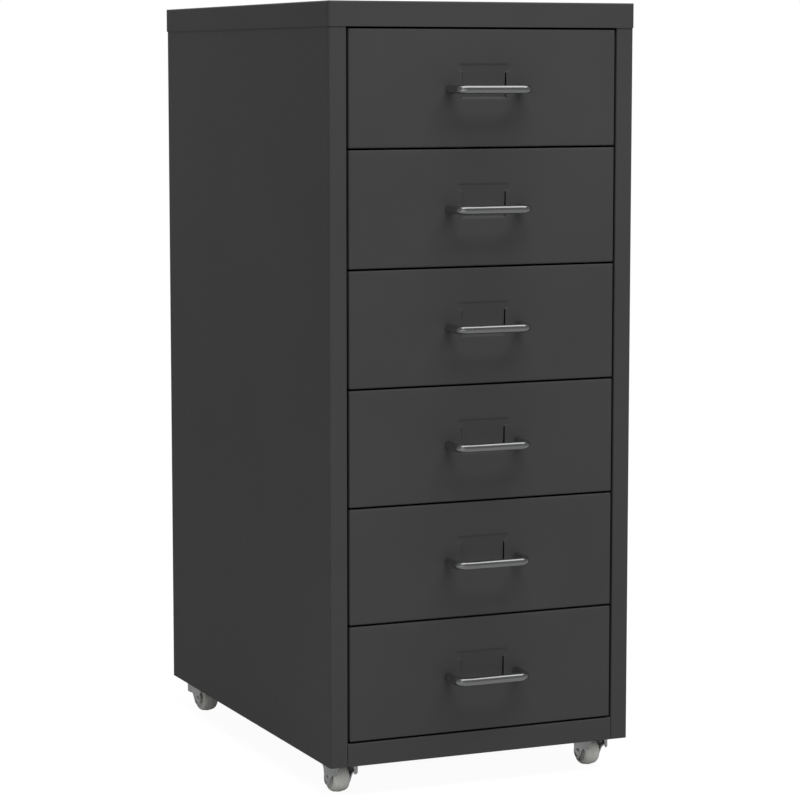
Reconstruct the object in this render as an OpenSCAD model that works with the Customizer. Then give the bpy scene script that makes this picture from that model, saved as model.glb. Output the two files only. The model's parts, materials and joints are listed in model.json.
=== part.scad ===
// Small sheet-metal drawer cabinet on four swivel castors, with equal drawers.
// Millimetres. X is to the right, the drawers open towards -Y and Z is up.
// The origin is on the floor, in the middle of the cabinet's plan.
// Inside the modules Y counts from the plane of the drawer fronts.

/* [Cabinet] */
// Width over the two side panels
body_w = 280; // [250:1:360]
// Depth from the drawer fronts to the back panel's outer face
body_d = 403; // [360:1:480]
// Height of the sheet-metal body, without the castors
body_h = 637; // [560:1:760]
// How far the body's lower edge hangs below the castors' seat
skirt_drop = 4.5; // [3:0.5:8]
// Outer radius of the body's long vertical edges
corner_r = 2; // [1.4:0.1:4]
// Width of the post that each side panel is folded into at the front and the back
post_w = 15.8; // [13:0.1:22]
// How far a post is folded back into the cabinet
post_return = 28; // [18:1:40]
// Height of the fixed rail under the lowest drawer
rail_h = 19.5; // [17:0.5:30]
// Seam between the rail and the left post
rail_seam_left = 0.1; // [0.1:0.1:0.6]
// Seam between the rail and the right post
rail_seam_right = 0.5; // [0.1:0.1:0.8]
// Height of the top cover's skirt
cover_skirt = 20.8; // [14:0.1:30]
// Gap between the top cover's skirt and the body
cover_fit = 0.1; // [0.1:0.1:0.5]
// Outer radius of the top cover's upper edges
cover_edge_r = 1.4; // [1.2:0.1:1.8]

/* [Sheet] */
// Thickness of the sheet steel
sheet_t = 0.6; // [0.5:0.1:1]
// Inner radius of a fold
fold_r = 0.6; // [0.4:0.1:1]
// Width of a stiffening flange
flange_w = 14; // [10:1:18]
// Width of the flange under the bottom panel, which carries the castors
foot_flange = 38; // [34:1:46]
// How far the back panel's lower edge is turned in
back_turn_in = 9; // [6:0.5:11]

/* [Drawers] */
// Number of drawers
drawer_count = 6; // [4:1:6]
// Gap above and below each drawer front
drawer_gap = 1.6; // [1.2:0.1:3]
// Gap between a drawer front and a post
side_gap = 1.8; // [1.4:0.1:3]
// Depth of the fold round a drawer front
front_return = 12; // [8:0.5:16]
// Outer radius of the edges of a drawer front
front_r = 1.2; // [1.1:0.1:2]
// Length of a drawer box
box_d = 380; // [300:1:390]
// From a front's lower edge up to the underside of its drawer box
box_rise = 6; // [3:0.5:10]
// From a front's upper edge down to the top of its drawer box
box_drop = 11.6; // [8:0.1:18]
// How much lower a drawer's back wall is than its sides
back_wall_drop = 3; // [0:0.5:10]
// Length of the laps that a drawer's front and back walls are welded on by
weld_lap = 12; // [8:1:20]
// How far a drawer pulls out
drawer_travel = 280; // [180:5:300]

/* [Runners] */
// Height of a runner channel
runner_h = 9.2; // [7.5:0.1:12]
// Width of a runner channel
runner_w = 11.2; // [9.5:0.1:14]
// Play above and below the drawer's lip in its runner
lip_play = 0.1; // [0.1:0.05:0.4]
// Play between the drawer's lip and the back of its runner
lip_side_play = 0.8; // [0.4:0.1:1.5]
// Gap between a drawer's side wall and its runner
wall_gap = 2; // [1:0.1:4]
// Gap left at both stops
stop_gap = 0.2; // [0.1:0.1:1]
// Width of the stop tabs
tab_w = 6; // [3:0.5:6.5]
// Height of the stop tab that stands up in the runner
tab_h = 5; // [3:0.5:5.5]

/* [Handle] */
// Diameter of the handle's wire
handle_d = 6.5; // [5.5:0.1:9]
// Distance between the handle's screws
handle_pitch = 64; // [54:1:128]
// How far the handle stands out from the drawer front
handle_reach = 27.5; // [22:0.5:40]
// Radius of the wire's bends, measured at its middle
handle_bend = 9; // [6:0.5:12]
// How far the handle sits below the middle of the drawer front
handle_drop = 1; // [0:0.5:10]
// Depth of the tapped hole in each end of the handle
handle_bore_l = 12; // [11:0.5:14]

/* [Label pocket] */
// Width of the pressed label pocket between its slits
pocket_w = 44; // [30:1:50]
// Height of the label pocket at the face of the drawer front
pocket_h = 28.6; // [20:0.1:40]
// Depth of the label pocket
pocket_depth = 1.6; // [1.2:0.1:2.5]
// Height of the sloping top and bottom walls of the label pocket
pocket_slope = 2.6; // [1.5:0.1:5]
// How far the pocket's middle is above the middle of the drawer front
pocket_rise = 4.9; // [0:0.1:12]
// Height of the slits that take the ends of a label card
slit_h = 19.4; // [12:0.1:20]
// How far the slits' middle is below the pocket's middle
slit_drop = 1.5; // [0:0.1:2]
// Width of the slits in the face of the drawer front
slit_w = 1.2; // [0.8:0.1:2]

/* [Screws] */
// Diameter of the screws
screw_d = 4; // [3:0.5:4]
// Diameter of a screw head
screw_head_d = 7.5; // [6:0.5:9]
// Height of a screw head
screw_head_h = 1.8; // [1.4:0.1:2.5]
// Length of a handle screw's shank
handle_screw_l = 10; // [8:0.5:11]
// Length of a carcass screw's shank
carcass_screw_l = 8; // [5:0.5:10]
// Clearance of a screw in its hole, on the diameter
screw_fit = 0.2; // [0.1:0.05:0.6]
// Screws down each side of the back panel
back_screws = 4; // [2:1:6]
// Distance of the first and last back screw from the body's ends
back_screw_end = 50; // [40:5:90]
// Distance of the cover's two screws from the middle of the back
cover_screw_x = 90; // [40:5:110]

/* [Castors] */
// Height of the castors, from the floor to their seat
castor_h = 34; // [33:0.5:45]
// From a castor's swivel axis to the outside of the side panel
castor_inset_x = 20.6; // [19:0.1:30]
// From a castor's swivel axis to the front or the back of the body
castor_inset_y = 29; // [26:0.5:50]
// Swivel angle of each castor: front left, front right, back left, back right
castor_turn = [2, 4, 188, 174]; // [0:1:360]
// Diameter of a wheel
wheel_d = 24; // [20:0.5:24.5]
// Width of a wheel
wheel_w = 15.5; // [10:0.5:16]
// Radius of a wheel's rounded shoulders
wheel_r = 3.5; // [1:0.5:4]
// Depth of the dish in each side of a wheel
dish_depth = 1.5; // [0.5:0.5:4]
// Wall of a wheel's hub round the axle
hub_wall = 1.6; // [1:0.1:2]
// How far a wheel's axle trails behind the swivel axis
castor_trail = 6; // [4:0.5:10]
// Thickness of the pressed fork
fork_t = 1.2; // [1:0.1:1.6]
// Outer diameter of the fork's bell
bell_d = 30; // [28:0.5:34]
// Height of the fork's bell
bell_h = 12; // [8:0.5:13]
// Distance between the fork's legs
fork_gap = 16.8; // [16.4:0.1:18]
// Radius of the fork's ends round the axle
fork_boss_r = 4.6; // [4:0.1:5]
// How far the front edge of a leg's neck is set back from its end round the axle
fork_neck = 0.8; // [0.4:0.1:1.5]
// Diameter of the axle
axle_d = 4; // [3:0.5:5]
// Diameter of the axle's heads
axle_head_d = 6; // [5.5:0.5:8]
// Height of the axle's heads
axle_head_h = 0.8; // [0.6:0.1:1.2]
// Diameter of the swivel stem
stem_d = 8; // [6:0.5:10]
// Diameter of the collar that seats against the body
collar_d = 22; // [18:0.5:24]
// Height of that collar
collar_h = 4; // [3:0.5:4.5]
// Play of the swivel along its axis, and of the wheel along its axle
castor_play = 0.1; // [0.1:0.05:0.3]
// Clearance of the stem and the axle in their holes, on the diameter
castor_fit = 0.2; // [0.1:0.05:0.4]
// Width across the flats of the nut on each stem
nut_af = 13; // [11:0.5:16]
// Height of that nut
nut_h = 6.5; // [4:0.5:8]
// How far a stem stands out above its nut
stem_over = 1.5; // [0.5:0.5:4]

/* [Hidden] */
$fn = 32;
CORNERS = ["front_left", "front_right", "back_left", "back_right"];
DRAWERS = [1 : drawer_count];
SIDES = ["left", "right"];

paint = "#3d3d3e";
chrome = "#d4d6d8";
zinc = "#b4b8b8";
wheel_grey = "#a0a19c";

// A cut runs this far past the faces that it goes through
past = 1;
// Gap between pieces of sheet that pass each other
sheet_gap = 0.3;
// A flange stops this far short of a fold that crosses its line
relief = 2;
// The drawers' lips start this far behind the fold round the front
lip_gap = 1;
// Width of the cross in a screw head
slot_w = 0.8;

// The body, in X
half_w = body_w/2;
post_x = half_w - post_w;
inner_x = half_w - sheet_t;

// The body, in Y: the back panel lies outside the side panels
side_back = body_d - sheet_t;
cover_over = sheet_t + cover_fit;
rear_reach = cover_over + screw_head_h;
front_y = handle_reach - (handle_reach + body_d + rear_reach)/2;

// The body, in Z
body_z = castor_h - skirt_drop;
body_top = body_z + body_h;
panel_top = body_top - sheet_t;
cover_z = body_top - cover_skirt;
floor_z = castor_h + sheet_t;
rail_top = body_z + rail_h;
// The posts stop under the cover's rounded edge, and their returns start above the nuts
post_top = panel_top - corner_r;
return_z = floor_z + sheet_t + nut_h + sheet_gap;
// The flanges between the posts, and the one under them
flange_y = [post_return + relief, side_back - post_return - relief];
foot_y = [corner_r + relief, side_back - corner_r - relief];

// The drawer fronts share the opening evenly
opening_h = cover_z - rail_top;
front_w = 2*(post_x - side_gap);
front_h = (opening_h - (drawer_count + 1)*drawer_gap)/drawer_count;
function front_z(i) = cover_z - i*(drawer_gap + front_h);

// Drawer boxes and runners: drawer 1 is the top one
box_x = post_x - runner_w - wall_gap;
box_y = sheet_t;
box_back = box_y + box_d;
// Heights on a drawer and its runners count from the lower edge of the drawer's front
box_top = front_h - box_drop;
lip_h = runner_h - 2*sheet_t - 2*lip_play;
lip_x = post_x - sheet_t - lip_side_play;
lip_y = front_return + lip_gap;
runner_y = front_return + stop_gap;
runner_back = side_back - relief;
runner_top = box_top + lip_play + sheet_t;
// The drawer's rear tab meets the runner's tab at the end of the travel
tab_x = (box_x + lip_x)/2;
tab_y = box_back - sheet_t - drawer_travel - stop_gap;

// Handle and label pocket
handle_z = front_h/2 - handle_drop;
pocket_z = front_h/2 + pocket_rise;
pocket_slant = norm([pocket_depth, pocket_slope]);
pocket_lap = sheet_t*(pocket_slant - pocket_slope)/pocket_depth;
window_gap = 2;

// Castors
axle_z = wheel_d/2;
crown_z = castor_h - collar_h - castor_play;
leg_x = fork_gap/2 + fork_t;
shoulder_z = crown_z - bell_h;
// The fillet under a shoulder takes up part of the step from the bell to the leg, and ends
// above the axle's head
shoulder_r = min((bell_d/2 - leg_x)*0.8, shoulder_z - axle_z - axle_head_d/2 - sheet_gap);
bell_r = 3;
// The bell's arches spring from here and stop under the crown
arch_z = shoulder_z + bell_h/4;
arch_top = crown_z - fork_t - sheet_gap;
// Height of the stem's riveted end
rivet_h = 1.6;
function castor_x(k) = (k % 2 == 0 ? -1 : 1)*(half_w - castor_inset_x);
function castor_y(k) = k < 2 ? castor_inset_y : body_d - castor_inset_y;

function unit(v) = v/norm(v);
// Where a line from point p touches the circle of radius r round c, on side s
function tangent(p, c, r, s) =
    let(d = c - p, l = norm(d), a = atan2(d.y, d.x) + s*asin(r/l))
    p + sqrt(l*l - r*r)*[cos(a), sin(a)];

// ---------------------------------------------------------------- building blocks

// Moves from the fronts' plane to the cabinet's own origin
module in_frame() {
    translate([0, front_y, 0]) children();
}

// Moves up to the lower edge of drawer front i
module at_drawer(i) {
    in_frame() translate([0, 0, front_z(i)]) children();
}

// Box between two corners
module block(lo, hi) {
    translate(lo) cube(hi - lo);
}

// A flat outline drawn in (y, z), drawn out along X
module along_x(x0, x1) {
    translate([x0, 0, 0]) rotate([90, 0, 90]) linear_extrude(x1 - x0) children();
}

// A flat outline drawn in (x, z), drawn out along Y
module along_y(y0, y1) {
    translate([0, y1, 0]) rotate([90, 0, 0]) linear_extrude(y1 - y0) children();
}

// A flat outline drawn in (x, y), drawn out along Z
module along_z(z0, z1) {
    translate([0, 0, z0]) linear_extrude(z1 - z0) children();
}

// Section of a folded sheet: the path is the middle of the sheet, with right-angled
// corners, and radii holds the inner radius of each corner
module folded(path, radii = undef) {
    last = len(path) - 1;
    inner = is_undef(radii) ? [for (i = [0 : last]) fold_r] : concat([0], radii);
    mid = [for (i = [0 : last]) (i == 0 || i == last) ? 0 : inner[i] + sheet_t/2];
    for (i = [0 : last - 1]) {
        along = unit(path[i + 1] - path[i]);
        from = path[i] + mid[i]*along;
        to = path[i + 1] - mid[i + 1]*along;
        // Two folds may follow each other with nothing straight between them
        if (norm(to - from) > 0.01)
            translate(from) rotate(atan2(along.y, along.x)) translate([0, -sheet_t/2])
                square([norm(to - from), sheet_t]);
    }
    for (i = [1 : last - 1]) {
        before = unit(path[i] - path[i - 1]);
        after = unit(path[i + 1] - path[i]);
        centre = path[i] + mid[i]*(after - before);
        reach = mid[i] + sheet_t;
        intersection() {
            translate(centre) difference() {
                circle(mid[i] + sheet_t/2);
                circle(mid[i] - sheet_t/2);
            }
            polygon([
                centre,
                centre + reach*before,
                centre + reach*(before - after),
                centre - reach*after
            ]);
        }
    }
}

// Rectangle with all corners rounded
module rounded_rect(lo, hi, r) {
    translate(lo + [r, 0]) square([hi.x - lo.x - 2*r, hi.y - lo.y]);
    translate(lo + [0, r]) square([hi.x - lo.x, hi.y - lo.y - 2*r]);
    for (x = [lo.x + r, hi.x - r], y = [lo.y + r, hi.y - r])
        translate([x, y]) circle(r);
}

// Rectangle with the two upper corners rounded
module top_rounded_rect(lo, hi, r) {
    rounded_rect(lo, hi, r);
    translate(lo) square([hi.x - lo.x, (hi.y - lo.y)/2]);
}

// Rectangle with the two corners at the lower x rounded
module front_rounded_rect(lo, hi, r) {
    rounded_rect(lo, hi, r);
    translate([(lo.x + hi.x)/2, lo.y]) square([(hi.x - lo.x)/2, hi.y - lo.y]);
}

// Pan-head screw along +Z: the head is above z = 0 and the shank below it
module pan_screw(shank) {
    neck_h = screw_head_h*0.45;
    crown_d = screw_head_d*0.66;
    slot = [screw_head_d*0.56, slot_w];
    slot_z = screw_head_h*0.4;
    difference() {
        union() {
            cylinder(d = screw_head_d, h = neck_h);
            translate([0, 0, neck_h])
                cylinder(d1 = screw_head_d, d2 = crown_d, h = screw_head_h - neck_h);
        }
        for (turn = [0, 90])
            rotate(turn) translate([-slot.x/2, -slot.y/2, slot_z])
                cube([slot.x, slot.y, screw_head_h]);
    }
    translate([0, 0, -shank]) cylinder(d = screw_d, h = shank);
}

// ---------------------------------------------------------------- carcass

// Heights of the back panel's screws
function back_screw_z(n) =
    body_z + back_screw_end + n*(body_h - cover_skirt - 2*back_screw_end)/(back_screws - 1);
back_screw_x = half_w - post_w*0.55;

// The left side panel: one sheet, folded into a post at the front and at the back
module side_panel() {
    mid_x = half_w - sheet_t/2;
    ret_x = post_x + sheet_t/2;
    outer_fold = corner_r - sheet_t;
    flange_in = inner_x - flange_w;
    fold_out = fold_r + sheet_t;
    difference() {
        along_z(body_z, post_top) folded([
            [-ret_x, post_return],
            [-ret_x, sheet_t/2],
            [-mid_x, sheet_t/2],
            [-mid_x, side_back - sheet_t/2],
            [-ret_x, side_back - sheet_t/2],
            [-ret_x, side_back - post_return]
        ], [fold_r, outer_fold, outer_fold, fold_r]);
        // Room for the bottom panel and the castors' nuts
        block([-post_x - sheet_t - past, fold_out, body_z - past],
              [-post_x + past, side_back - fold_out, return_z]);
        for (n = [0 : back_screws - 1])
            translate([-back_screw_x, side_back, back_screw_z(n)]) rotate([90, 0, 0])
                cylinder(d = screw_d + screw_fit, h = 6*sheet_t, center = true);
    }
    along_y(flange_y[0], flange_y[1]) folded([
        [-mid_x, post_top - sheet_t],
        [-mid_x, panel_top - sheet_t/2],
        [-flange_in, panel_top - sheet_t/2]
    ]);
    // The lower edge is doubled back and turned in under the bottom panel
    difference() {
        union() {
            block([-mid_x, foot_y[0], body_z],
                  [-inner_x + sheet_t, foot_y[1], castor_h + sheet_t]);
            block([-inner_x, foot_y[0], castor_h],
                  [-inner_x + foot_flange, foot_y[1], castor_h + sheet_t]);
        }
        for (k = [0, 2]) stem_hole(k);
    }
}

// Hole for a castor's stem through the flange and the bottom panel
module stem_hole(k) {
    translate([castor_x(k), castor_y(k), castor_h - past])
        cylinder(d = stem_d + castor_fit, h = 4*sheet_t + 2*past);
}

module left_side_panel() {
    color(paint) in_frame() side_panel();
}

module right_side_panel() {
    color(paint) in_frame() mirror([1, 0, 0]) side_panel();
}

// The back panel lies on the rear posts and turns in below the bottom panel
module back_panel() {
    edge_x = half_w - corner_r - relief/2;
    end_x = post_x - sheet_gap;
    color(paint) in_frame() {
        difference() {
            block([-edge_x, side_back, body_z + 2*sheet_t], [edge_x, body_d, post_top]);
            for (side = [-1, 1]) {
                for (n = [0 : back_screws - 1])
                    translate([side*back_screw_x, body_d, back_screw_z(n)])
                        rotate([90, 0, 0])
                            cylinder(d = screw_d + screw_fit, h = 6*sheet_t, center = true);
                translate([side*cover_screw_x, body_d, cover_z + cover_skirt/2])
                    rotate([90, 0, 0])
                        cylinder(d = screw_d + screw_fit, h = 6*sheet_t, center = true);
            }
        }
        along_x(-end_x, end_x) folded([
            [side_back - back_turn_in, body_z + sheet_t/2],
            [side_back + sheet_t/2, body_z + sheet_t/2],
            [side_back + sheet_t/2, body_z + 3*sheet_t]
        ]);
    }
}

// Plain solid of the top cover, grown outwards by a margin
module cover_form(margin, z0) {
    x = half_w + margin;
    z = panel_top + margin - cover_fit;
    edge_r = cover_edge_r - cover_over + margin;
    intersection() {
        along_z(z0, z) rounded_rect([-x, -margin], [x, body_d + margin], corner_r + margin);
        along_x(-x, x) top_rounded_rect([-margin, z0], [body_d + margin, z], edge_r);
        along_y(-margin, body_d + margin) top_rounded_rect([-x, z0], [x, z], edge_r);
    }
}

// The top cover: a tray turned over the body, with a stiffening fold over the drawers
module top_cover() {
    color(paint) in_frame() {
        difference() {
            cover_form(cover_over, cover_z);
            cover_form(cover_fit, cover_z - past);
            for (side = [-1, 1])
                translate([side*cover_screw_x, body_d + cover_over, cover_z + cover_skirt/2])
                    rotate([90, 0, 0])
                        cylinder(d = screw_d + screw_fit, h = 6*sheet_t, center = true);
        }
        block([-post_x + sheet_gap, -cover_fit - sheet_t/2, cover_z],
              [post_x - sheet_gap, flange_w, cover_z + sheet_t]);
    }
}

// The bottom panel: a shallow tray that the four castors bolt up against
module bottom_panel() {
    edge_x = inner_x - cover_fit;
    mid_z = floor_z + sheet_t/2;
    up_z = rail_top - 3*sheet_t;
    inner_edge = edge_x - fold_r - sheet_t;
    end_x = post_x - sheet_gap;
    end_y = [sheet_t*1.5, side_back - sheet_t/2];
    fold_y = [sheet_t*2 + fold_r, side_back - sheet_t - fold_r];
    color(paint) in_frame() {
        difference() {
            union() {
                block([-inner_edge, foot_y[0], floor_z], [inner_edge, foot_y[1], floor_z + sheet_t]);
                for (y = [[foot_y[0], flange_y[0]], [flange_y[1], foot_y[1]]])
                    block([-edge_x, y[0], floor_z], [edge_x, y[1], floor_z + sheet_t]);
                block([-end_x, fold_y[0], floor_z], [end_x, fold_y[1], floor_z + sheet_t]);
            }
            for (k = [0 : 3]) stem_hole(k);
        }
        for (side = [-1, 1])
            along_y(flange_y[0], flange_y[1]) folded([
                [side*(edge_x - sheet_t/2), up_z],
                [side*(edge_x - sheet_t/2), mid_z],
                [side*inner_edge, mid_z]
            ]);
        along_x(-end_x, end_x) folded([
            [end_y[0], up_z],
            [end_y[0], mid_z],
            [fold_y[0], mid_z]
        ]);
        along_x(-end_x, end_x) folded([
            [end_y[1], up_z],
            [end_y[1], mid_z],
            [fold_y[1], mid_z]
        ]);
    }
}

// The rail across the front, under the lowest drawer
module front_bottom_rail() {
    color(paint) in_frame()
        along_x(-post_x + rail_seam_left, post_x - rail_seam_right) folded([
            [sheet_t/2, body_z],
            [sheet_t/2, rail_top - sheet_t/2],
            [flange_w, rail_top - sheet_t/2]
        ]);
}

// Screws of the back panel, and the cover's two screws
module carcass_screws() {
    color(zinc) in_frame()
        for (side = [-1, 1]) {
            for (n = [0 : back_screws - 1])
                translate([side*back_screw_x, body_d, back_screw_z(n)])
                    rotate([-90, 0, 0]) pan_screw(carcass_screw_l);
            translate([side*cover_screw_x, body_d + cover_over, cover_z + cover_skirt/2])
                rotate([-90, 0, 0]) pan_screw(carcass_screw_l);
        }
}

// ---------------------------------------------------------------- drawers

// A left runner: a channel between the posts, with a lanced stop tab
module runner() {
    z0 = runner_top - runner_h;
    z1 = runner_top;
    mid_x = post_x - sheet_t/2;
    open_x = post_x - runner_w;
    difference() {
        along_y(runner_y, runner_back) folded([
            [-open_x, z1 - sheet_t/2],
            [-mid_x, z1 - sheet_t/2],
            [-mid_x, z0 + sheet_t/2],
            [-open_x, z0 + sheet_t/2]
        ]);
        // The window that the tab is bent up from
        block([-tab_x - tab_w/2, tab_y - tab_h - sheet_t, z0 - past],
              [-tab_x + tab_w/2, tab_y - sheet_t, z0 + sheet_t + past/2]);
    }
    block([-tab_x - tab_w/2, tab_y - sheet_t, z0],
          [-tab_x + tab_w/2, tab_y, z0 + sheet_t + tab_h]);
}

module runner_left(i) {
    color(paint) at_drawer(i) runner();
}

module runner_right(i) {
    color(paint) at_drawer(i) mirror([1, 0, 0]) runner();
}

// The box of drawer i: a folded trough with lips that run in the runners
module drawer_box(i) {
    z0 = box_rise;
    z1 = box_top;
    wall_x = box_x - sheet_t/2;
    end_x = box_x - sheet_t*1.5;
    base = z0 + sheet_t/2;
    rim = z1 - sheet_t/2;
    lip_end = lip_x - sheet_t/2;
    tab_z = z1 - lip_h + lip_gap;
    color(paint) at_drawer(i) {
        along_y(box_y, lip_y) folded([
            [-wall_x, z1], [-wall_x, base], [wall_x, base], [wall_x, z1]
        ]);
        along_y(lip_y, box_back) folded([
            [-lip_end, z1 - lip_h],
            [-lip_end, rim],
            [-wall_x, rim],
            [-wall_x, base],
            [wall_x, base],
            [wall_x, rim],
            [lip_end, rim],
            [lip_end, z1 - lip_h]
        ]);
        // Front wall, welded between the sides, with a window for the label pocket
        difference() {
            along_z(z0 + sheet_t, z1) folded([
                [-end_x, box_y + weld_lap],
                [-end_x, box_y + sheet_t/2],
                [end_x, box_y + sheet_t/2],
                [end_x, box_y + weld_lap]
            ]);
            translate([0, box_y + sheet_t/2, pocket_z])
                cube([pocket_w + 2*window_gap, 4*sheet_t, pocket_h + 2*window_gap],
                     center = true);
            handle_holes();
        }
        // Back wall, a little lower than the sides
        along_z(z0 + sheet_t, z1 - back_wall_drop) folded([
            [-end_x, box_back - weld_lap],
            [-end_x, box_back - sheet_t/2],
            [end_x, box_back - sheet_t/2],
            [end_x, box_back - weld_lap]
        ]);
        // Tabs that meet the runners' tabs when the drawer is pulled right out
        for (side = [-1, 1])
            translate([side*tab_x - tab_w/2, box_back - sheet_t, tab_z])
                cube([tab_w, sheet_t, z1 - sheet_t/2 - tab_z]);
    }
}

// Holes for the two handle screws of a drawer
module handle_holes() {
    for (side = [-1, 1])
        translate([side*handle_pitch/2, box_y, handle_z]) rotate([90, 0, 0])
            cylinder(d = screw_d + screw_fit, h = 8*sheet_t, center = true);
}

// Plain solid of a drawer front, drawn in by a margin and open towards the back
module front_form(margin, y1) {
    x = front_w/2 - margin;
    z0 = margin;
    z1 = front_h - margin;
    r = front_r - margin;
    intersection() {
        along_x(-x, x) front_rounded_rect([margin, z0], [y1, z1], r);
        along_z(z0, z1) rotate(90) mirror([0, 1]) front_rounded_rect([margin, -x], [y1, x], r);
    }
}

// The front of drawer i: a pressed pan with a label pocket behind the handle
module drawer_front(i) {
    z0 = pocket_z - pocket_h/2;
    z1 = pocket_z + pocket_h/2;
    back = pocket_depth + sheet_t;
    half_slit = slit_h/2;
    slit_z = pocket_z - slit_drop;
    slit_x = pocket_w/2 + slit_w;
    color(paint) at_drawer(i) {
        difference() {
            front_form(0, front_return);
            front_form(sheet_t, front_return + past);
            block([-pocket_w/2, -past, z0], [pocket_w/2, sheet_t + past, z1]);
            block([-slit_x, -past, slit_z - half_slit], [slit_x, sheet_t + past, slit_z + half_slit]);
            handle_holes();
        }
        // Floor of the pocket, between its sloping top and bottom walls
        along_x(-pocket_w/2, pocket_w/2) polygon([
            [0, z0],
            [pocket_depth, z0 + pocket_slope],
            [pocket_depth, z1 - pocket_slope],
            [0, z1],
            [sheet_t, z1 + pocket_lap],
            [back, z1 - pocket_slope + pocket_lap],
            [back, z0 + pocket_slope - pocket_lap],
            [sheet_t, z0 - pocket_lap]
        ]);
        // End walls above and below the slits
        for (side = [-1, 1])
            translate([side*(pocket_w/2 + sheet_t/2), 0, 0]) along_x(-sheet_t/2, sheet_t/2) {
                polygon([
                    [0, slit_z + half_slit],
                    [back, slit_z + half_slit],
                    [back, z1 - pocket_slope + pocket_lap],
                    [sheet_t, z1 + pocket_lap],
                    [0, z1 + pocket_lap]
                ]);
                polygon([
                    [0, z0 - pocket_lap],
                    [sheet_t, z0 - pocket_lap],
                    [back, z0 + pocket_slope - pocket_lap],
                    [back, slit_z - half_slit],
                    [0, slit_z - half_slit]
                ]);
            }
    }
}

// The handle of drawer i: one bent wire, tapped at both ends
module drawer_handle(i) {
    bar_y = handle_reach - handle_d/2;
    leg_l = bar_y - handle_bend;
    bar_x = handle_pitch/2 - handle_bend;
    color(chrome) at_drawer(i) translate([0, 0, handle_z]) {
        for (side = [0, 1]) mirror([side, 0, 0]) {
            difference() {
                translate([-handle_pitch/2, 0, 0]) rotate([90, 0, 0])
                    cylinder(d = handle_d, h = leg_l);
                translate([-handle_pitch/2, past, 0]) rotate([90, 0, 0])
                    cylinder(d = screw_d + screw_fit/2, h = handle_bore_l + past);
            }
            translate([-bar_x, -leg_l, 0]) rotate(180)
                rotate_extrude(angle = 90) translate([handle_bend, 0]) circle(d = handle_d);
        }
        translate([-bar_x, -bar_y, 0]) rotate([0, 90, 0])
            cylinder(d = handle_d, h = 2*bar_x);
    }
}

// The two screws that hold handle i from inside the drawer
module drawer_screws(i) {
    color(zinc) at_drawer(i)
        for (side = [-1, 1])
            translate([side*handle_pitch/2, box_y + sheet_t, handle_z])
                rotate([-90, 0, 0]) pan_screw(handle_screw_l);
}

// ---------------------------------------------------------------- castors

// Puts a castor's pieces at corner k: its swivel axis is the local Z axis
module at_castor(k) {
    in_frame() translate([castor_x(k), castor_y(k), 0]) rotate(castor_turn[k]) children();
}

// The stem that carries the fork and bolts up through the bottom panel
module castor_stem(k) {
    top = floor_z + sheet_t + nut_h + stem_over;
    rivet_z = crown_z - fork_t - castor_play;
    color(zinc) at_castor(k) {
        translate([0, 0, castor_h - collar_h]) cylinder(d = collar_d, h = collar_h);
        translate([0, 0, rivet_z]) cylinder(d = stem_d, h = top - rivet_z);
        translate([0, 0, rivet_z - rivet_h])
            cylinder(d1 = stem_d, d2 = stem_d + 2*rivet_h, h = rivet_h);
    }
}

// Side view of a fork leg, in (y, z): from the bell's shoulder down to the axle. Its front
// edge is hollowed out by an arc, and its back edge is straight
module leg_outline() {
    axle = [castor_trail, axle_z];
    back = [sqrt(pow(bell_d/2, 2) - pow(leg_x, 2)) - sheet_gap, shoulder_z];
    drop = shoulder_z - axle_z;
    front_x = castor_trail - fork_boss_r + fork_neck - drop;
    translate(axle) circle(fork_boss_r);
    difference() {
        polygon([
            [front_x, shoulder_z + fork_t],
            [front_x, axle_z],
            axle,
            tangent(back, axle, fork_boss_r, 1),
            back,
            [back.x, shoulder_z + fork_t]
        ]);
        translate([front_x, axle_z]) circle(drop);
    }
}

// The pressed fork: a bell under the stem's collar, and two legs for the axle
module castor_fork(k) {
    r = bell_d/2;
    round_x = r - bell_r;
    color(zinc) at_castor(k) difference() {
        union() {
            // Crown and bell wall
            difference() {
                rotate_extrude() {
                    translate([0, crown_z - fork_t]) square([round_x, fork_t]);
                    translate([r - fork_t, shoulder_z]) square([fork_t, bell_h - bell_r]);
                    translate([round_x, crown_z - bell_r]) intersection() {
                        difference() {
                            circle(bell_r);
                            circle(bell_r - fork_t);
                        }
                        square(bell_r);
                    }
                }
                // Arches at the front and the back, for the wheel
                along_y(-r - past, r + past) {
                    translate([-fork_gap/2, shoulder_z - past])
                        square([fork_gap, past + arch_z - shoulder_z]);
                    translate([0, arch_z]) intersection() {
                        circle(d = fork_gap);
                        translate([-fork_gap/2, 0]) square([fork_gap, arch_top - arch_z]);
                    }
                }
            }
            // Shoulders, stepping in from the bell to the legs
            intersection() {
                translate([0, 0, shoulder_z]) cylinder(r = r, h = fork_t);
                for (side = [0, 1]) mirror([side, 0, 0])
                    block([fork_gap/2, -r, shoulder_z], [r, r, shoulder_z + fork_t]);
            }
            // Legs
            intersection() {
                cylinder(r = r, h = shoulder_z + fork_t);
                for (side = [0, 1]) mirror([side, 0, 0])
                    along_x(fork_gap/2, r) leg_outline();
                for (side = [0, 1]) mirror([side, 0, 0]) along_y(-r, r) {
                    translate([fork_gap/2, 0]) square([fork_t, shoulder_z + fork_t]);
                    translate([leg_x, shoulder_z - shoulder_r]) difference() {
                        square(shoulder_r);
                        translate([shoulder_r, 0]) circle(shoulder_r);
                    }
                }
            }
        }
        translate([0, 0, crown_z - fork_t - past])
            cylinder(d = stem_d + castor_fit, h = fork_t + 2*past);
        translate([0, castor_trail, axle_z]) rotate([0, 90, 0])
            cylinder(d = axle_d + castor_fit/2, h = bell_d, center = true);
    }
}

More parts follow.
